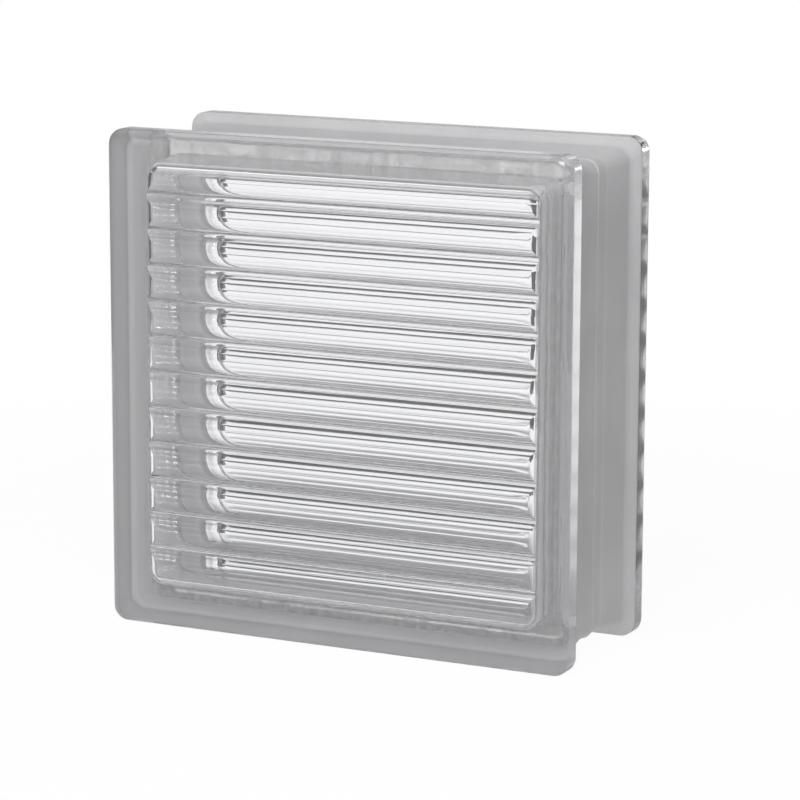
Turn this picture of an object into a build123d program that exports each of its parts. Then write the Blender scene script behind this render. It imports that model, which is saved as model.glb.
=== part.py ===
from build123d import *
from math import radians, sqrt, tan
import os

# Hollow glass block: two pressed glass halves, fused along a seam at mid depth.
# X is the width, Y the depth from the front face to the back face, Z is up.
# The origin is at the middle of the base.

# Driving dimensions, in mm
block_width = 197.0
block_height = 197.0
block_depth = 79.4

# Rim round each face, and the mortar channel between the two rims
rim_thickness = 10.7
rim_corner_radius = 6.2
face_arris_radius = 4.0
rim_arris_radius = 1.2
channel_depth = 5.7
channel_floor_half_width = 9.0
channel_floor_blend_radius = 60.0
shoulder_inset = 3.6
shoulder_run = 3.0
shoulder_root_radius = 2.5

# Sealed cavity, which widens from the face to the seam by the draft of the plunger
# and sits a little above the middle of the block
cavity_face_width = 168.2
cavity_draft_angle = 4.4
cavity_corner_radius = 9.0
cavity_floor_radius = 6.0
cavity_rise = 1.1

# Level flutes pressed into the inner side of each face, raised a little with the cavity
face_thickness = 7.4
flute_count = 12
flute_pitch = 14.16
flute_radius = 9.8
flute_crest_radius = 1.5
flute_rise = 2.0

# Sizes that follow from the driving dimensions
half_depth = block_depth / 2
rim_back_level = half_depth - rim_thickness
shoulder_level = rim_back_level - shoulder_run
cavity_depth = half_depth - face_thickness
cavity_seam_width = cavity_face_width + 2 * cavity_depth * tan(radians(cavity_draft_angle))
flute_axis_level = cavity_depth - flute_radius
flute_crest_level = flute_axis_level + sqrt(flute_radius**2 - (flute_pitch / 2) ** 2)


def outline(inset, level):
    """Rounded square of the block's outline, drawn in by inset, at a level above the seam."""
    square = RectangleRounded(block_width - 2 * inset, block_height - 2 * inset, rim_corner_radius)
    return Pos(0, 0, level) * square


def edges_at(solid, level):
    """Edges that lie flat at a level above the seam."""
    return solid.edges().filter_by_position(Axis.Z, level, level)


def shell_body():
    """Outside of one half, standing on its seam: channel floor, sloped shoulder and rim."""
    floor = extrude(outline(channel_depth, 0), channel_floor_half_width)
    slope = loft([outline(channel_depth, channel_floor_half_width), outline(shoulder_inset, shoulder_level)])
    shoulder = loft([outline(shoulder_inset, shoulder_level), outline(0, rim_back_level)])
    rim = extrude(outline(0, rim_back_level), rim_thickness)
    body = floor + slope + shoulder + rim
    body = fillet(edges_at(body, half_depth), face_arris_radius)
    body = fillet(edges_at(body, rim_back_level), rim_arris_radius)
    body = fillet(edges_at(body, shoulder_level), shoulder_root_radius)
    return fillet(edges_at(body, channel_floor_half_width), channel_floor_blend_radius)


def drafted_cavity():
    """Plunger shape: a tapered rounded square with a rounded edge round its end."""
    mouth = RectangleRounded(cavity_seam_width, cavity_seam_width, cavity_corner_radius)
    plunger = extrude(Pos(0, cavity_rise) * mouth, cavity_depth, taper=cavity_draft_angle)
    return fillet(edges_at(plunger, cavity_depth), cavity_floor_radius)


def fluted_profile():
    """Section across the flutes: a row of arcs that meet in slightly rounded crests."""
    base_height = flute_crest_level - flute_crest_radius
    profile = Pos(0, base_height / 2) * Rectangle(cavity_seam_width + flute_pitch, base_height)
    first_axis = flute_rise - (flute_count - 1) * flute_pitch / 2
    for index in range(flute_count):
        profile += Pos(first_axis + index * flute_pitch, flute_axis_level) * Circle(flute_radius)
    crests = profile.vertices().filter_by_position(
        Axis.Y, flute_crest_level - 0.01, flute_crest_level + 0.01
    )
    return fillet(crests, flute_crest_radius)


def pressed_half():
    """One half standing on its seam, with the fluted cavity pressed into it."""
    flutes = extrude(Plane.YZ * fluted_profile(), cavity_seam_width / 2, both=True)
    return shell_body() - (drafted_cavity() & flutes)


half = pressed_half()
front_half = Pos(0, 0, block_height / 2) * Rot(90, 0, 0) * half
back_half = Rot(0, 0, 180) * front_half

os.makedirs("parts", exist_ok=True)
export_step(front_half, "parts/front_half.step")
export_step(back_half, "parts/back_half.step")
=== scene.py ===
from math import atan2, copysign, cos, pi, radians, sin, sqrt, tan

import bmesh
import bpy
from mathutils import Matrix, Vector


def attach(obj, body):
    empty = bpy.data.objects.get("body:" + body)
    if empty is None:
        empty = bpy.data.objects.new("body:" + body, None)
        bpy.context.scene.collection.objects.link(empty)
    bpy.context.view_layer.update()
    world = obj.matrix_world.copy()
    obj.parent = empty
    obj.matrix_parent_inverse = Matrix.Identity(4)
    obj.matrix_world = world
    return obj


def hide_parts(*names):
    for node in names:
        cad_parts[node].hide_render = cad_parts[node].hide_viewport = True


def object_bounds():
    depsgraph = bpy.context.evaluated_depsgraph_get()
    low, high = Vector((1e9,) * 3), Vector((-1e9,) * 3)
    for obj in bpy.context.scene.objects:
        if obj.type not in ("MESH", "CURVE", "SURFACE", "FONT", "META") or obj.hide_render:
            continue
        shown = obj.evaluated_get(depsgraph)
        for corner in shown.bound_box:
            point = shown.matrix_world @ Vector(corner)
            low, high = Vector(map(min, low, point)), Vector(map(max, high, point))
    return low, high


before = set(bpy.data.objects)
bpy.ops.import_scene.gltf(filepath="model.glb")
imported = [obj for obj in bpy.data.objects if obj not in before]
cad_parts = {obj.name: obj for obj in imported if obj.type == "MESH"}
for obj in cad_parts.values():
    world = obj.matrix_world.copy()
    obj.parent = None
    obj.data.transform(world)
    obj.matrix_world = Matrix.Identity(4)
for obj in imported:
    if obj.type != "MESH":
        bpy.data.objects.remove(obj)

bl_info = {
    "name": "Hollow Glass Block",
    "version": (1, 0, 0),
    "blender": (4, 5, 0),
    "location": "3D View > Sidebar > Glass Block",
    "description": "Pressed glass halves with level flutes, fused into one hollow block",
    "category": "Add Mesh",
}

MM = 0.001
CAD_LOW, CAD_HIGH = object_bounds()
BLOCK_WIDTH = CAD_HIGH.x - CAD_LOW.x
BLOCK_DEPTH = CAD_HIGH.y - CAD_LOW.y
BLOCK_MIDDLE = (CAD_LOW + CAD_HIGH) / 2

# Steps of the mesh along each stretch of a profile
CORNER_STEPS = 12
BEAD_STEPS = 6
BLEND_STEPS = 6
TURN_STEPS = 7
ARRIS_STEPS = 12
CAVITY_FLOOR_STEPS = 14
CREST_STEPS = 4
HOLLOW_STEPS = 22
FLUTE_END_STEPS = 3
BAR_COLUMNS = 24
CHANNEL_FLOOR_SHARES = (0.0, 0.35, 0.7, 1.0)

# Roundings of the outside, the ends of the row of flutes, and sizes of the tools that cut
FLOOR_BLEND = 2.0 * MM
ROOT_BLEND = 1.4 * MM
FLUTE_END = 1.4 * MM
PAST_SEAM = 3.0 * MM
BAR_MARGIN = 6.0 * MM
GRID_SIZE = 1.0
MERGE_DISTANCE = 0.002 * MM
SHARP_ANGLE = radians(28.0)

# Which faces have which finish. The film ends on the rounding behind the rim, and the margin tells
# the faces of the channel from those of the cavity
GLASS, SEAM, COATING = range(3)
SEAM_TOLERANCE = 0.001 * MM
SEAM_FACING = 0.99
FILM_UP_RIM = 0.5 * MM
CHANNEL_MARGIN = 3.0 * MM

# Chill ripple, from inside to outside the cavity's width at the face, and the satin rim edge
RIPPLE_INSIDE = 0.9 * MM
RIPPLE_OUTSIDE = 4.4 * MM
RIPPLE_EDGE = 1.0 * MM
SATIN_START = 0.4 * MM
SATIN_FULL = 0.1 * MM

# Bands of painted highlight on the film, two outside and one seen from inside: start, end and soft edge, as
# distances from the seam
PAINTED_HIGHLIGHT_BAND = (6.4 * MM, 9.6 * MM, 1.5 * MM)
PAINTED_FAINT_BAND = (0.9 * MM, 3.1 * MM, 1.1 * MM)
PAINTED_INNER_HIGHLIGHT = (16.5 * MM, 21.5 * MM, 2.5 * MM)

# Distances from the seam over which the film seen through the glass darkens, where its painted reflection
# ends, and levels of the noise for clouds and streaks
FLOOR_FOOT = (21.5 * MM, 24.5 * MM)
CLOUD_EDGES = (0.3, 0.7)
STREAK_EDGES = (0.25, 0.75)

# How strongly each part of a finish shows, from least to most where it varies
PAINTED_HIGHLIGHT_BAND_SHARE = 0.18
PAINTED_FAINT_BAND_SHARE = 0.05
PAINTED_HIGHLIGHT_SHARES = (0.4, 1.0)
STRIP_GLOW = 0.25
HAZE_SHARES = (0.7, 1.3)

# The sky. Heights, and places to the right, are sines of an angle
SCREEN_EDGE = radians(3.0)
SCREEN_TOP = (0.04, 0.34)
SOFT_BOX_EDGE = (0.62, 0.78)
RIGHT_EDGES = (0.1, 0.9)
RIGHT_SHADE = 0.6

# The floor: its brightness near the block and far away, and the distances between, in metres. To the glass
# it is painted shade, darker round the block, where the real shadow shows too
CAMERA_FLOOR = (0.96, 1.0)
CAMERA_FLOOR_REACH = (0.25, 0.6)
GLOW_TO_GLASS_WITH_PAINTED_SHADE = (0.1, 0.95)
PAINTED_SHADE_REACH = (0.1, 0.36)

# The lamps, in metres
LAMP_TARGET = (0.0, 0.0, 0.1)
GLINT_PLACE = (0.9, 2.33, 0.32)
GLINT_SIZE = 0.28
OVERHEAD_PLACE = (0.25, -1.1, 1.3)
OVERHEAD_SIZE = 0.9

# The camera: its place in metres, its lens and sensor in millimetres, and its turns
CAMERA_PLACE = (0.5864, -1.185, 0.3502)
CAMERA_LENS = 154.6
SENSOR_WIDTH = 36.0
CAMERA_AZIMUTH = radians(25.933)
CAMERA_ELEVATION = radians(11.077)
CAMERA_ROLL = radians(0.208)


def size_property(name, description, default_mm):
    """A length that the user can change, held in metres."""
    return bpy.props.FloatProperty(
        name=name,
        description=description,
        default=default_mm * MM,
        min=0.0,
        precision=4,
        subtype="DISTANCE",
        unit="LENGTH",
    )


def angle_property(name, description, default_degrees):
    """An angle that the user can change, held in radians."""
    return bpy.props.FloatProperty(
        name=name,
        description=description,
        default=radians(default_degrees),
        subtype="ANGLE",
        unit="ROTATION",
    )


def share_property(name, description, default):
    """A share between 0 and 1 that the user can change."""
    return bpy.props.FloatProperty(
        name=name, description=description, default=default, min=0.0, max=1.0, subtype="FACTOR"
    )


def power_property(name, description, default):
    """A lamp's power that the user can change, in watts."""
    return bpy.props.FloatProperty(
        name=name, description=description, default=default, min=0.0, unit="POWER"
    )


def colour_property(name, description, default):
    """A colour that the user can change."""
    return bpy.props.FloatVectorProperty(
        name=name, description=description, default=default, size=3, min=0.0, max=1.0, subtype="COLOR"
    )


class GlassBlockSizes(bpy.types.PropertyGroup):
    """Sizes of the pressed halves."""

    rim_thickness: size_property("Rim thickness", "Depth of the rim round each face", 10.7)
    corner_radius: size_property("Corner radius", "Rounding of the four corners of the outline", 6.2)
    face_arris: size_property("Face arris", "Rounding between a face and its rim", 4.0)
    rim_arris: size_property("Rim arris", "Rounding on the channel side of the rim", 1.2)
    channel_depth: size_property("Channel depth", "Depth of the mortar channel at the seam", 5.7)
    channel_floor: size_property("Channel floor", "Half width of the level floor of the channel", 9.0)
    shoulder_inset: size_property("Shoulder inset", "Depth of the channel at the foot of the rim", 3.6)
    shoulder_run: size_property("Shoulder run", "Depth taken up by the slope at the foot of the rim", 3.0)
    cavity_width: size_property("Cavity width", "Width of the cavity at the face", 168.2)
    cavity_corner: size_property("Cavity corner", "Rounding of the cavity's corners at the seam", 9.0)
    cavity_floor_radius: size_property("Cavity floor radius", "Rounding between wall and face inside", 6.0)
    cavity_rise: size_property("Cavity rise", "Height of the cavity's middle above mid height", 1.1)
    face_thickness: size_property("Face thickness", "Glass left at the bottom of a flute", 7.4)
    flute_pitch: size_property("Flute pitch", "Distance from flute to flute", 14.16)
    flute_radius: size_property("Flute radius", "Radius of the hollow of a flute", 9.8)
    crest_radius: size_property("Crest radius", "Rounding of the crest between two flutes", 1.5)
    flute_rise: size_property("Flute rise", "Height of the middle crest above mid height", 2.0)
    bead_height: size_property("Bead height", "Height of the weld bead on the seam", 0.35)
    bead_width: size_property("Bead width", "Half width of the weld bead on the seam", 0.9)
    flute_count: bpy.props.IntProperty(
        name="Flutes", description="Number of level flutes inside each face", default=12, min=1, max=40
    )
    draft: angle_property("Draft", "Angle by which the cavity widens towards the seam", 4.4)


class GlassBlockLooks(bpy.types.PropertyGroup):
    """Colours and finish of the glass and the film in the channel."""

    tint: colour_property(
        "Glass tint", "Colour of light that has passed through the glass", (0.978, 0.978, 0.99)
    )
    refraction: bpy.props.FloatProperty(
        name="Refractive index",
        description="Refractive index of the glass",
        default=1.52,
        min=1.0,
        max=2.5,
    )
    rim_roughness: share_property("Rim roughness", "Roughness of the flat edge of the rims", 0.25)
    wall_ripple: bpy.props.FloatProperty(
        name="Wall ripple",
        description="Height of the chill ripple on the cavity's sides",
        default=2.6,
        min=0.0,
    )
    coating: colour_property("Channel film", "Colour of the matt film in the channel", (0.62, 0.62, 0.63))
    coating_dark: colour_property("Film, darker", "Colour of the film's clouds", (0.55, 0.55, 0.56))
    # Painted reflection: the film's paler colour seen through the glass, also the colour of the light that
    # passes through the film
    painted_reflection_and_glow: colour_property(
        "Film, inner side", "Colour of the film seen through glass", (0.86, 0.86, 0.87)
    )
    # Painted highlight colour: the pale bands on the film outside and the strip on the film seen from
    # inside
    film_painted_highlight: colour_property(
        "Film, thin strip", "Colour of the film where it is thinnest", (1.0, 1.0, 1.0)
    )
    coating_glow: share_property("Film glow", "Share of light that passes through the film", 0.3)
    seam_haze: share_property("Seam haze", "Share of light that the fused seam scatters", 0.55)


class GlassBlockStudio(bpy.types.PropertyGroup):
    """Light and floor."""

    screen_start: angle_property("Screen start", "Angle from straight behind to a screen's near edge", 14.0)
    screen_end: angle_property("Screen end", "Angle from straight behind to a screen's far edge", 57.0)
    dark_gap: share_property("Dark gap", "Light between the screens", 0.08)
    ambient: share_property("Ambient light", "Light from all round on matt surfaces", 0.28)
    floor_glow: share_property("Floor glow", "Share of its own light in the floor", 0.75)
    floor_width: size_property("Floor width", "Width of the white floor", 1400.0)
    glint_power: power_property("Glint power", "Power of the small lamp behind the block", 8.0)
    overhead_power: power_property("Overhead power", "Power of the soft lamp above the block", 26.0)


def shares(steps):
    """Even shares from 0 to 1."""
    return [step / steps for step in range(steps + 1)]


def between(share, low, high):
    """Runs from low where the share is 0 to high where it is 1."""
    return low + (high - low) * share


def deselect_everything():
    """Leaves object mode ready for an operator to act on one new piece."""
    if bpy.context.object and bpy.context.object.mode != "OBJECT":
        bpy.ops.object.mode_set(mode="OBJECT")
    bpy.ops.object.select_all(action="DESELECT")


def make_active(piece):
    """Selects one piece alone and makes it active."""
    deselect_everything()
    piece.select_set(True)
    bpy.context.view_layer.objects.active = piece


def place_mesh(piece):
    """Moves a piece's place, turn and scale into its mesh."""
    make_active(piece)
    bpy.ops.object.transform_apply(location=True, rotation=True, scale=True)


def rounded_square(name, side, corner_radius, level):
    """A rounded square plate across the depth at a level, open for extruding in edit mode."""
    deselect_everything()
    bpy.ops.mesh.primitive_plane_add(
        size=side, location=(0.0, level, BLOCK_MIDDLE.z), rotation=(pi / 2, 0.0, 0.0)
    )
    plate = bpy.context.object
    plate.name = name
    place_mesh(plate)
    bpy.ops.object.mode_set(mode="EDIT")
    bpy.ops.mesh.select_all(action="SELECT")
    bpy.ops.mesh.bevel(
        offset=corner_radius, segments=CORNER_STEPS, profile=0.5, affect="VERTICES"
    )
    bpy.ops.mesh.select_mode(type="FACE")
    bpy.ops.mesh.select_all(action="SELECT")
    return plate


def grow_along(stations):
    """Extrudes the selected plate through stations of level and half width, scaling it at each."""
    for (level, half_width), (next_level, next_half_width) in zip(stations, stations[1:]):
        bpy.ops.mesh.extrude_region_move(TRANSFORM_OT_translate={"value": (0.0, next_level - level, 0.0)})
        ratio = next_half_width / half_width
        bpy.ops.transform.resize(
            value=(ratio, 1.0, ratio), center_override=(0.0, next_level, BLOCK_MIDDLE.z)
        )


def step_inwards(stations):
    """Insets the selected cap through stations of depth and inset, which keeps its edges parallel."""
    for (depth, inset), (next_depth, next_inset) in zip(stations, stations[1:]):
        bpy.ops.mesh.inset(thickness=next_inset - inset, depth=next_depth - depth, use_even_offset=True)


def bead_profile(sizes, level):
    """Height of the weld bead at a distance from the seam."""
    share = min(1.0, abs(level) / sizes.bead_width)
    return sizes.bead_height * 0.5 * (1.0 + cos(pi * share))


def outer_stations(sizes):
    """Levels from the seam to the rim, each with its half width, along the outside of one half."""
    half = BLOCK_WIDTH / 2
    floor_half = half - sizes.channel_depth
    rim_back = BLOCK_DEPTH / 2 - sizes.rim_thickness
    shoulder = rim_back - sizes.shoulder_run
    stations = []
    for share in shares(BEAD_STEPS):
        level = sizes.bead_width * share
        stations.append((level, floor_half + bead_profile(sizes, level)))
    floor_start = 1.5 * sizes.bead_width
    floor_end = sizes.channel_floor - 2.0 * sizes.bead_width
    for share in CHANNEL_FLOOR_SHARES:
        stations.append((between(share, floor_start, floor_end), floor_half))
    slope = (sizes.channel_depth - sizes.shoulder_inset) / (shoulder - sizes.channel_floor)
    for share in shares(BLEND_STEPS)[1:]:
        level = sizes.channel_floor + FLOOR_BLEND * (2 * share - 1)
        stations.append((level, floor_half + slope * FLOOR_BLEND * share**2))
    foot_half = half - sizes.shoulder_inset
    steep = sizes.shoulder_inset / sizes.shoulder_run
    for share in shares(TURN_STEPS):
        level = shoulder + ROOT_BLEND * (2 * share - 1)
        rise = slope * (2 * share - 1) + (steep - slope) * share**2
        stations.append((level, foot_half + ROOT_BLEND * rise))
    turn = atan2(sizes.shoulder_inset, sizes.shoulder_run)
    set_back = sizes.rim_arris * tan(turn / 2)
    for share in shares(TURN_STEPS):
        angle = turn * (1 - share)
        level = rim_back + set_back - sizes.rim_arris * sin(angle)
        stations.append((level, half - sizes.rim_arris * (1 - cos(angle))))
    stations.append((BLOCK_DEPTH / 2 - sizes.face_arris, half))
    return stations


def arris_stations(sizes):
    """Depth and inset along the rounding between the rim and the face."""
    radius = sizes.face_arris
    angles = [pi / 2 * share for share in shares(ARRIS_STEPS)]
    return [(radius * sin(angle), radius * (1 - cos(angle))) for angle in angles]


def outer_body(sizes):
    """Outside of the front half: channel, shoulder, rim and rounded face."""
    stations = [(-level, half_width) for level, half_width in outer_stations(sizes)]
    first_half_width = stations[0][1]
    start_radius = sizes.corner_radius * first_half_width / (BLOCK_WIDTH / 2)
    body = rounded_square("front_glass_half", 2 * first_half_width, start_radius, stations[0][0])
    grow_along(stations)
    step_inwards(arris_stations(sizes))
    bpy.ops.mesh.select_all(action="SELECT")
    bpy.ops.mesh.normals_make_consistent(inside=False)
    bpy.ops.object.mode_set(mode="OBJECT")
    return body


def cavity_depth(sizes):
    """Depth of one half's cavity, from the seam to the bottom of a flute."""
    return BLOCK_DEPTH / 2 - sizes.face_thickness


def plunger_stations(sizes):
    """Depth and inset of the cavity's side, from past the seam to the rounding at its end."""
    slope = tan(sizes.draft)
    bead = sizes.bead_width
    stations = [(0.0, 0.0), (PAST_SEAM - bead, slope * (PAST_SEAM - bead))]
    for share in shares(2 * BEAD_STEPS)[1:-1]:
        level = bead * (2 * share - 1)
        depth = PAST_SEAM + level
        stations.append((depth, slope * depth + bead_profile(sizes, level)))
    stations.append((PAST_SEAM + bead, slope * (PAST_SEAM + bead)))
    radius = sizes.cavity_floor_radius
    centre_depth = PAST_SEAM + cavity_depth(sizes) - radius
    centre_inset = slope * centre_depth + radius / cos(sizes.draft)
    for share in shares(CAVITY_FLOOR_STEPS):
        angle = (pi / 2 + sizes.draft) * share - sizes.draft
        stations.append((centre_depth + radius * sin(angle), centre_inset - radius * cos(angle)))
    return stations


def plunger_body(sizes):
    """The drafted, rounded cavity of the front half, carried a little past the seam."""
    mouth_half = sizes.cavity_width / 2 + tan(sizes.draft) * (cavity_depth(sizes) + PAST_SEAM)
    body = rounded_square("cavity", 2 * mouth_half, sizes.cavity_corner, PAST_SEAM)
    extrude_and_offset(body, plunger_stations(sizes))
    bpy.ops.mesh.select_all(action="SELECT")
    bpy.ops.transform.translate(value=(0.0, 0.0, sizes.cavity_rise))
    bpy.ops.mesh.normals_make_consistent(inside=False)
    bpy.ops.object.mode_set(mode="OBJECT")
    return body


def extrude_and_offset(body, stations):
    """Extrudes the selected plate through stations of depth and inset, its sides kept parallel."""
    mesh = body.data
    for (depth, inset), (next_depth, next_inset) in zip(stations, stations[1:]):
        bpy.ops.mesh.extrude_region_move(
            TRANSFORM_OT_translate={"value": (0.0, -(next_depth - depth), 0.0)}
        )
        offset_selected(mesh, next_inset - inset)


def offset_selected(mesh, distance):
    """Moves the selected cap's outline inwards by a distance, square to each of its edges."""
    shape = bmesh.from_edit_mesh(mesh)
    cap = [face for face in shape.faces if face.select][0]
    corners = [loop.vert for loop in cap.loops]
    places = [vertex.co.copy() for vertex in corners]
    middle = sum(places, Vector()) / len(places)
    for index, vertex in enumerate(corners):
        before = places[index] - places[index - 1]
        after = places[(index + 1) % len(places)] - places[index]
        first = Vector((before.z, 0.0, -before.x)).normalized()
        second = Vector((after.z, 0.0, -after.x)).normalized()
        bisector = (first + second).normalized()
        if bisector.dot(middle - places[index]) < 0:
            bisector.negate()
            first.negate()
        vertex.co = places[index] + bisector * distance / bisector.dot(first)
    bmesh.update_edit_mesh(mesh)


def flute_height(sizes, across):
    """Rise of the glass above the bottom of a flute, at a height above the middle crest."""
    radius = sizes.flute_radius
    crest = sizes.crest_radius
    reach = sizes.flute_pitch / 2
    from_crest = abs(across - round(across / sizes.flute_pitch) * sizes.flute_pitch)
    past_last_crest = abs(across) - sizes.flute_count * reach
    if past_last_crest > -crest_tangent(sizes):
        return radius - sqrt(radius**2 - (reach + past_last_crest) ** 2)
    if from_crest >= crest_tangent(sizes):
        return radius - sqrt(radius**2 - (reach - from_crest) ** 2)
    crest_centre = radius - sqrt((radius + crest) ** 2 - reach**2)
    return crest_centre + sqrt(crest**2 - from_crest**2)


def crest_tangent(sizes):
    """Distance from a crest at which its rounding meets the hollow of the flute."""
    return sizes.flute_pitch / 2 * sizes.crest_radius / (sizes.flute_radius + sizes.crest_radius)


def flute_positions(sizes):
    """Heights above the middle crest where the mesh has its lines, closer together on the crests."""
    tangent = crest_tangent(sizes)
    hollow = sizes.flute_pitch - 2 * tangent
    low = -sizes.flute_count * sizes.flute_pitch / 2
    positions = [low - FLUTE_END * (1 - share) for share in shares(FLUTE_END_STEPS)[:-1]]
    for flute in range(sizes.flute_count):
        start = low + flute * sizes.flute_pitch
        positions += [start + tangent * share for share in shares(CREST_STEPS)[:-1]]
        positions += [start + tangent + hollow * share for share in shares(HOLLOW_STEPS)[:-1]]
        positions += [start + tangent + hollow + tangent * share for share in shares(CREST_STEPS)[:-1]]
    return positions + [-low + FLUTE_END * share for share in shares(FLUTE_END_STEPS)]


def fluted_bar(sizes):
    """A thick bar whose front side carries the flutes, to cut the cavity with."""
    positions = flute_positions(sizes)
    last_row = len(positions) - 1
    deselect_everything()
    bpy.ops.mesh.primitive_grid_add(
        x_subdivisions=BAR_COLUMNS,
        y_subdivisions=last_row,
        size=GRID_SIZE,
        location=(0.0, 0.0, BLOCK_MIDDLE.z),
        rotation=(pi / 2, 0.0, 0.0),
    )
    bar = bpy.context.object
    bar.name = "flutes"
    place_mesh(bar)
    depth = cavity_depth(sizes)
    grid_low = BLOCK_MIDDLE.z - GRID_SIZE / 2
    for vertex in bar.data.vertices:
        row = round((vertex.co.z - grid_low) / GRID_SIZE * last_row)
        across = positions[row]
        vertex.co.x *= BLOCK_WIDTH / GRID_SIZE
        vertex.co.y = flute_height(sizes, across) - depth
        vertex.co.z = BLOCK_MIDDLE.z + sizes.flute_rise + across
        if row in (0, last_row):
            vertex.co.z += copysign(BAR_MARGIN, across)
    make_active(bar)
    bpy.ops.object.mode_set(mode="EDIT")
    bpy.ops.mesh.select_all(action="SELECT")
    bpy.ops.mesh.extrude_region_move(TRANSFORM_OT_translate={"value": (0.0, 2 * depth, 0.0)})
    bpy.ops.mesh.select_all(action="SELECT")
    bpy.ops.mesh.normals_make_consistent(inside=False)
    bpy.ops.object.mode_set(mode="OBJECT")
    return bar


def apply_boolean(piece, tool, operation):
    """Cuts a piece with a tool, or keeps what the two share, and removes the tool."""
    make_active(piece)
    cutter = piece.modifiers.new("cutter", "BOOLEAN")
    cutter.object = tool
    cutter.operation = operation
    cutter.solver = "EXACT"
    bpy.ops.object.modifier_apply(modifier=cutter.name)
    bpy.data.objects.remove(tool)
    if not piece.data.polygons:
        raise RuntimeError("nothing is left of " + piece.name)


def smooth_glass(piece):
    """Smooth shading that keeps flat faces flat and real edges crisp."""
    make_active(piece)
    bpy.ops.object.mode_set(mode="EDIT")
    bpy.ops.mesh.select_all(action="SELECT")
    bpy.ops.mesh.remove_doubles(threshold=MERGE_DISTANCE)
    bpy.ops.object.mode_set(mode="OBJECT")
    bpy.ops.object.shade_smooth_by_angle(angle=SHARP_ANGLE)
    weighting = piece.modifiers.new("weighting", "WEIGHTED_NORMAL")
    weighting.keep_sharp = True
    weighting.mode = "FACE_AREA"
    bpy.ops.object.modifier_apply(modifier=weighting.name)


class Shade:
    """A socket in a shader, with arithmetic that adds the nodes for it."""

    def __init__(self, builder, socket):
        self.builder = builder
        self.socket = socket

    def _math(self, operation, first, second=0.0):
        return self.builder.node("ShaderNodeMath", {"operation": operation}, {0: first, 1: second})

    def __add__(self, other):
        return self._math("ADD", self, other)

    __radd__ = __add__

    def __sub__(self, other):
        return self._math("SUBTRACT", self, other)

    def __rsub__(self, other):
        return self._math("SUBTRACT", other, self)

    def __mul__(self, other):
        return self._math("MULTIPLY", self, other)

    __rmul__ = __mul__

    def __abs__(self):
        return self._math("ABSOLUTE", self)

    def larger(self, other):
        """The larger of two values."""
        return self._math("MAXIMUM", self, other)


class ShaderBuilder:
    """Adds nodes to one material's or world's tree."""

    def __init__(self, tree):
        self.tree = tree
        tree.nodes.clear()

    def node(self, kind, settings=None, inputs=None, output=0):
        """Adds a node with its settings and its sockets' values or links, and gives one output."""
        made = self.tree.nodes.new(kind)
        for name, value in (settings or {}).items():
            setattr(made, name, value)
        for name, value in (inputs or {}).items():
            socket = made.inputs[name]
            if isinstance(value, Shade):
                self.tree.links.new(value.socket, socket)
            else:
                socket.default_value = value
        return Shade(self, made.outputs[output]) if made.outputs else None

    def object_place(self):
        """Place on the piece in metres."""
        return self.node("ShaderNodeTexCoord", {}, {}, "Object")

    def along(self, place, axis):
        """One coordinate of a place or direction."""
        return self.node("ShaderNodeSeparateXYZ", {}, {0: place}, axis)

    def rise(self, value, low, high):
        """Grows smoothly from 0 at low to 1 at high."""
        return self.node(
            "ShaderNodeMapRange",
            {"interpolation_type": "SMOOTHSTEP"},
            {"Value": value, "From Min": low, "From Max": high},
        )

    def band(self, value, low, high, edge):
        """1 between low and high, with soft edges inside them."""
        return self.rise(value, low, low + edge) * (1.0 - self.rise(value, high - edge, high))

    def noise(self, place, scale, detail):
        """Cloudy pattern between 0 and 1."""
        return self.node("ShaderNodeTexNoise", {}, {"Vector": place, "Scale": scale, "Detail": detail})

    def mix(self, share, first, second):
        """First shader where the share is 0, second where it is 1."""
        return self.node("ShaderNodeMixShader", {}, {0: share, 1: first, 2: second})

    def blend(self, share, first, second):
        """First colour where the share is 0, second where it is 1."""
        return self.node("ShaderNodeMix", {"data_type": "RGBA"}, {0: share, 6: first, 7: second}, 2)

    def finish(self, surface, kind="ShaderNodeOutputMaterial"):
        """Joins the finished shader to the output."""
        self.node(kind, {}, {"Surface": surface})


def new_material(name):
    """A node material with an empty tree, and the builder that fills it."""
    material = bpy.data.materials.new(name)
    material.use_nodes = True
    return material, ShaderBuilder(material.node_tree)


def opaque(colour):
    """A colour property with the alpha that a socket takes."""
    return (*colour, 1.0)


def grey(level):
    """A neutral colour for a socket."""
    return (level, level, level, 1.0)


def clear_glass(sizes, looks):
    """Clear pressed glass: a faint swell all over, chill ripple inside and a satin rim edge."""
    material, shader = new_material("clear_glass")
    place = shader.object_place()
    sideways = abs(shader.along(place, "X"))
    height = abs(shader.along(place, "Z") - BLOCK_MIDDLE.z)
    cavity_half = sizes.cavity_width / 2
    on_wall = shader.band(
        sideways, cavity_half - RIPPLE_INSIDE, cavity_half + RIPPLE_OUTSIDE, RIPPLE_EDGE
    )
    chill = shader.node(
        "ShaderNodeTexWave",
        {"bands_direction": "Y"},
        {"Vector": place, "Scale": 45.0, "Distortion": 2.0, "Detail": 1.0, "Detail Scale": 1.5},
        "Fac",
    )
    swell = shader.noise(place, scale=42.0, detail=2.0)
    relief = swell + on_wall * chill * looks.wall_ripple
    bump = shader.node(
        "ShaderNodeBump", {}, {"Height": relief, "Strength": 0.05, "Distance": 2.0 * MM}
    )
    half = BLOCK_WIDTH / 2
    on_rim = shader.rise(sideways.larger(height), half - SATIN_START, half - SATIN_FULL)
    surface = shader.node(
        "ShaderNodeBsdfPrincipled",
        {},
        {
            "Base Color": opaque(looks.tint),
            "Roughness": on_rim * looks.rim_roughness,
            "IOR": looks.refraction,
            "Transmission Weight": 1.0,
            "Normal": bump,
        },
    )
    shader.finish(surface)
    return material


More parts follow.
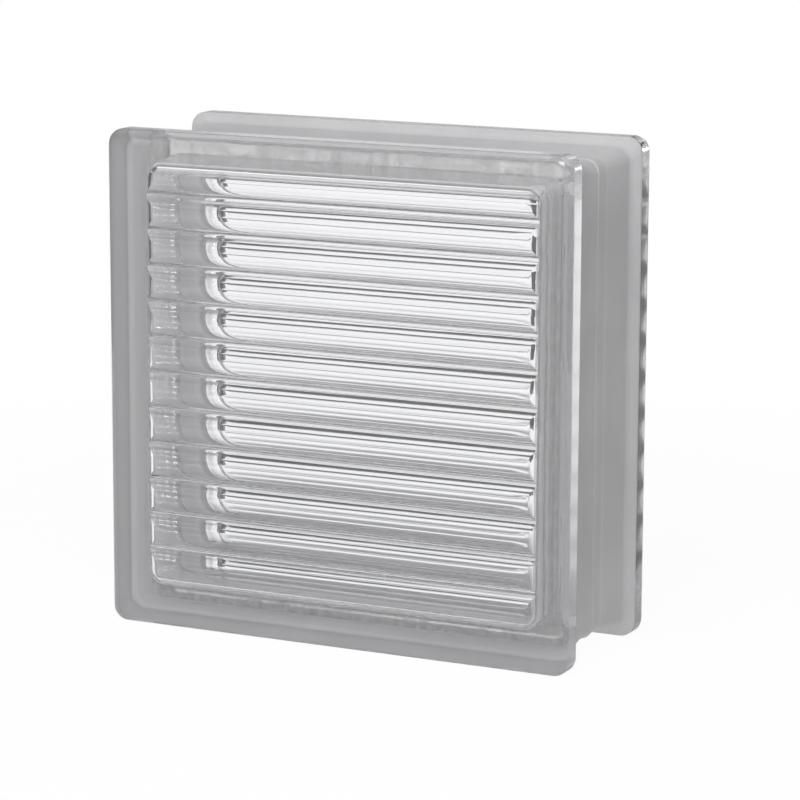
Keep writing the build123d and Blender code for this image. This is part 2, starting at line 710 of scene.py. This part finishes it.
def film_outside(shader, looks, place, level):
    """Colour of the film in the open: faint clouds, and two lines of painted highlight beside the seam at
    the back.
    """
    clouds = shader.rise(shader.noise(place, scale=28.0, detail=4.0), *CLOUD_EDGES)
    film = shader.blend(clouds, opaque(looks.coating_dark), opaque(looks.coating))
    # Painted highlights: two pale bands on the back half's film, beside the seam's bead and at the turn
    # from the channel's floor
    highlight_band = PAINTED_HIGHLIGHT_BAND_SHARE * shader.band(level, *PAINTED_HIGHLIGHT_BAND)
    faint_highlight_band = PAINTED_FAINT_BAND_SHARE * shader.band(level, *PAINTED_FAINT_BAND)
    return shader.blend(highlight_band + faint_highlight_band, film, opaque(looks.film_painted_highlight))


def inner_film_painted_light(shader, looks, place, depth, painted_highlight_mask):
    """Colour of the film through the glass: a painted reflection makes it pale on the channel's floor, with
    a streaky white strip of painted highlight.
    """
    past_floor = shader.rise(depth, *FLOOR_FOOT)
    film = shader.blend(past_floor, opaque(looks.painted_reflection_and_glow), opaque(looks.coating_dark))
    streaks = shader.rise(shader.noise(place, scale=70.0, detail=2.0), *STREAK_EDGES)
    share = painted_highlight_mask * between(streaks, *PAINTED_HIGHLIGHT_SHARES)
    return shader.blend(share, film, opaque(looks.film_painted_highlight))


def channel_coating(looks):
    """The matt, pale grey film in the channel round the edge, so that mortar keys to it."""
    material, shader = new_material("channel_coating")
    place = shader.object_place()
    level = shader.along(place, "Y")
    depth = abs(level)
    # Painted highlight: a streaky white strip on the film, seen only from inside, where more of the light
    # through the film shows too
    painted_highlight_mask = shader.band(depth, *PAINTED_INNER_HIGHLIGHT)
    # Seen from inside, through the glass, the film gets painted light: a painted reflection on the
    # channel's floor and a painted highlight strip
    from_inside = shader.node("ShaderNodeNewGeometry", {}, {}, "Backfacing")
    colour = shader.blend(
        from_inside,
        film_outside(shader, looks, place, level),
        inner_film_painted_light(shader, looks, place, depth, painted_highlight_mask),
    )
    grain = shader.noise(place, scale=900.0, detail=3.0)
    bump = shader.node("ShaderNodeBump", {}, {"Height": grain, "Strength": 0.25, "Distance": 0.2 * MM})
    matt = shader.node(
        "ShaderNodeBsdfPrincipled",
        {},
        {"Base Color": colour, "Roughness": 0.75, "Specular IOR Level": 0.2, "Normal": bump},
    )
    glow = shader.node("ShaderNodeBsdfTranslucent", {}, {"Color": opaque(looks.painted_reflection_and_glow)})
    share = looks.coating_glow + STRIP_GLOW * painted_highlight_mask * from_inside
    shader.finish(shader.mix(share, matt, glow))
    return material


def fused_seam(looks):
    """The joint inside the glass: nearly clear, with a pale haze in streaks."""
    material, shader = new_material("fused_seam")
    place = shader.object_place()
    streaks = shader.rise(shader.noise(place, scale=160.0, detail=3.0), *STREAK_EDGES)
    clear = shader.node("ShaderNodeBsdfTransparent", {}, {"Color": grey(1.0)})
    haze = shader.node("ShaderNodeBsdfTranslucent", {}, {"Color": grey(0.9)})
    share = looks.seam_haze * between(streaks, *HAZE_SHARES)
    shader.finish(shader.mix(share, clear, haze))
    return material


def front_half_piece(sizes):
    """The whole front half as one closed mesh."""
    body = outer_body(sizes)
    cavity = plunger_body(sizes)
    apply_boolean(cavity, fluted_bar(sizes), "INTERSECT")
    apply_boolean(body, cavity, "DIFFERENCE")
    smooth_glass(body)
    return body


def add_materials(sizes, piece, finishes):
    """Glass all over, and their own finish on the faces that are fused and in the channel."""
    piece.data.materials.clear()
    for finish in finishes:
        piece.data.materials.append(finish)
    rim_back = BLOCK_DEPTH / 2 - sizes.rim_thickness
    outside_cavity = BLOCK_WIDTH / 2 - sizes.channel_depth - CHANNEL_MARGIN
    for face in piece.data.polygons:
        centre = face.center - BLOCK_MIDDLE
        outwards = max(abs(centre.x), abs(centre.z))
        if abs(centre.y) < SEAM_TOLERANCE and abs(face.normal.y) > SEAM_FACING:
            face.material_index = SEAM
        elif abs(centre.y) < rim_back + FILM_UP_RIM and outwards > outside_cavity:
            face.material_index = COATING
        else:
            face.material_index = GLASS


class GLASSBLOCK_OT_halves(bpy.types.Operator):
    """Presses the front half, turns a copy round for the back, and gives the faces where they meet a fused
    seam's finish
    """

    bl_idname = "glassblock.halves"
    bl_label = "Glass halves"

    def execute(self, context):
        sizes = context.scene.glass_block_sizes
        looks = context.scene.glass_block_looks
        front = front_half_piece(sizes)
        make_active(front)
        bpy.ops.object.duplicate()
        back = context.object
        back.name = "back_glass_half"
        back.rotation_euler = (0.0, 0.0, pi)
        place_mesh(back)
        finishes = (clear_glass(sizes, looks), fused_seam(looks), channel_coating(looks))
        for piece, node in ((front, "front_half"), (back, "back_half")):
            add_materials(sizes, piece, finishes)
            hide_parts(node)
            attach(piece, "root")
        return {"FINISHED"}


def light_path(shader, kind):
    """1 for rays of one kind."""
    return shader.node("ShaderNodeLightPath", {}, {}, kind)


def seen_by_glass(shader):
    """1 for rays that glass reflects or passes on."""
    return light_path(shader, "Is Glossy Ray").larger(light_path(shader, "Is Transmission Ray"))


def sky(shader, strength):
    """White light from the sky, at a strength that may change with the direction."""
    return shader.node("ShaderNodeBackground", {}, {"Color": grey(1.0), "Strength": strength})


def screens_and_soft_box(shader, studio, direction):
    """What the glass sees: a white screen off each corner, dark gaps between and a soft box above."""
    height = shader.along(direction, "Z")
    off_axis = shader.node(
        "ShaderNodeMath",
        {"operation": "ARCTAN2"},
        {0: abs(shader.along(direction, "X")), 1: abs(shader.along(direction, "Y"))},
    )
    start = studio.screen_start - SCREEN_EDGE
    end = studio.screen_end + SCREEN_EDGE
    screens = shader.band(off_axis, start, end, 2 * SCREEN_EDGE) * (1.0 - shader.rise(height, *SCREEN_TOP))
    soft_box = shader.rise(height, *SOFT_BOX_EDGE)
    return between(screens.larger(soft_box), studio.dark_gap, 1.0)


def studio_world(studio):
    """White to the camera, screens and a soft box to the glass, and even light to matt surfaces."""
    world = bpy.data.worlds.new("studio")
    bpy.context.scene.world = world
    world.use_nodes = True
    shader = ShaderBuilder(world.node_tree)
    direction = shader.node("ShaderNodeTexCoord", {}, {}, "Generated")
    from_right = shader.rise(shader.along(direction, "X"), *RIGHT_EDGES)
    to_matt = sky(shader, studio.ambient * (1.0 - RIGHT_SHADE * from_right))
    to_glass = sky(shader, screens_and_soft_box(shader, studio, direction))
    all_but_camera = shader.mix(seen_by_glass(shader), to_matt, to_glass)
    surround = shader.mix(light_path(shader, "Is Camera Ray"), all_but_camera, sky(shader, 1.0))
    shader.finish(surround, "ShaderNodeOutputWorld")


def pale_floor(studio):
    """Matt floor, almost white to the camera, that the glass sees as darker close to the block: painted
    shade, over which the real shadow also shows.
    """
    material, shader = new_material("pale_floor")
    place = shader.object_place()
    from_block = shader.node("ShaderNodeVectorMath", {"operation": "LENGTH"}, {0: place}, "Value")
    for_camera = between(shader.rise(from_block, *CAMERA_FLOOR_REACH), *CAMERA_FLOOR)
    # Painted shade: to the glass the floor shows less of its own light close to the block, so it is darker
    # all round it
    glass_glow_with_painted_shade = between(shader.rise(from_block, *PAINTED_SHADE_REACH), *GLOW_TO_GLASS_WITH_PAINTED_SHADE)
    by_glass = seen_by_glass(shader)
    to_camera = light_path(shader, "Is Camera Ray") * for_camera
    to_matt = studio.floor_glow * (1.0 - by_glass)
    share = to_camera.larger(by_glass * glass_glow_with_painted_shade).larger(to_matt)
    matt = shader.node("ShaderNodeBsdfDiffuse", {}, {"Color": grey(0.85)})
    glow = shader.node("ShaderNodeEmission", {}, {"Color": grey(1.0), "Strength": 1.0})
    shader.finish(shader.mix(share, matt, glow))
    return material


def area_lamp(name, place, size, power):
    """A square lamp that points at the block and that the camera doesn't see."""
    data = bpy.data.lights.new(name, "AREA")
    data.energy = power
    data.size = size
    lamp = bpy.data.objects.new(name, data)
    bpy.context.scene.collection.objects.link(lamp)
    lamp.location = place
    lamp.rotation_euler = (Vector(LAMP_TARGET) - Vector(place)).to_track_quat("-Z", "Y").to_euler()
    lamp.visible_camera = False
    return lamp


def studio_lamps(studio):
    """A small lamp behind that glints on the cavity's left side, and a soft one above."""
    glint = area_lamp("glint", GLINT_PLACE, GLINT_SIZE, studio.glint_power)
    glint.visible_diffuse = False
    overhead = area_lamp("overhead", OVERHEAD_PLACE, OVERHEAD_SIZE, studio.overhead_power)
    overhead.visible_transmission = False


def studio_floor(studio):
    """The floor that the block stands on."""
    deselect_everything()
    bpy.ops.mesh.primitive_plane_add(size=studio.floor_width, location=(0.0, 0.0, CAD_LOW.z))
    floor = bpy.context.object
    floor.name = "floor"
    floor.data.materials.append(pale_floor(studio))


def photo_camera():
    """The camera, at the photo's angle."""
    data = bpy.data.cameras.new("camera")
    data.lens = CAMERA_LENS
    data.sensor_width = SENSOR_WIDTH
    camera = bpy.data.objects.new("camera", data)
    bpy.context.scene.collection.objects.link(camera)
    camera.matrix_world = (
        Matrix.Translation(CAMERA_PLACE)
        @ Matrix.Rotation(CAMERA_AZIMUTH, 4, "Z")
        @ Matrix.Rotation(pi / 2 - CAMERA_ELEVATION, 4, "X")
        @ Matrix.Rotation(CAMERA_ROLL, 4, "Z")
    )
    bpy.context.scene.camera = camera


class GLASSBLOCK_OT_stage(bpy.types.Operator):
    """Sets the floor, the studio's light and the camera"""

    bl_idname = "glassblock.stage"
    bl_label = "Stage"

    def execute(self, context):
        studio = context.scene.glass_block_studio
        context.scene.view_settings.view_transform = "Standard"
        studio_world(studio)
        studio_floor(studio)
        studio_lamps(studio)
        photo_camera()
        return {"FINISHED"}


class GLASSBLOCK_PT_panel(bpy.types.Panel):
    """Lists the sizes and the steps"""

    bl_label = "Glass Block"
    bl_idname = "GLASSBLOCK_PT_panel"
    bl_space_type = "VIEW_3D"
    bl_region_type = "UI"
    bl_category = "Glass Block"

    def draw(self, context):
        scene = context.scene
        for group in (scene.glass_block_sizes, scene.glass_block_looks, scene.glass_block_studio):
            for name in group.__annotations__:
                self.layout.prop(group, name)
        for operator in OPERATORS:
            self.layout.operator(operator.bl_idname)


GROUPS = (GlassBlockSizes, GlassBlockLooks, GlassBlockStudio)
OPERATORS = (GLASSBLOCK_OT_halves, GLASSBLOCK_OT_stage)
CLASSES = (*GROUPS, *OPERATORS, GLASSBLOCK_PT_panel)


def register():
    for item in CLASSES:
        bpy.utils.register_class(item)
    bpy.types.Scene.glass_block_sizes = bpy.props.PointerProperty(type=GlassBlockSizes)
    bpy.types.Scene.glass_block_looks = bpy.props.PointerProperty(type=GlassBlockLooks)
    bpy.types.Scene.glass_block_studio = bpy.props.PointerProperty(type=GlassBlockStudio)


def unregister():
    del bpy.types.Scene.glass_block_studio
    del bpy.types.Scene.glass_block_looks
    del bpy.types.Scene.glass_block_sizes
    for item in reversed(CLASSES):
        bpy.utils.unregister_class(item)


def main():
    """Builds the block and its stage."""
    register()
    bpy.ops.glassblock.halves()
    bpy.ops.glassblock.stage()


if __name__ == "__main__":
    main()
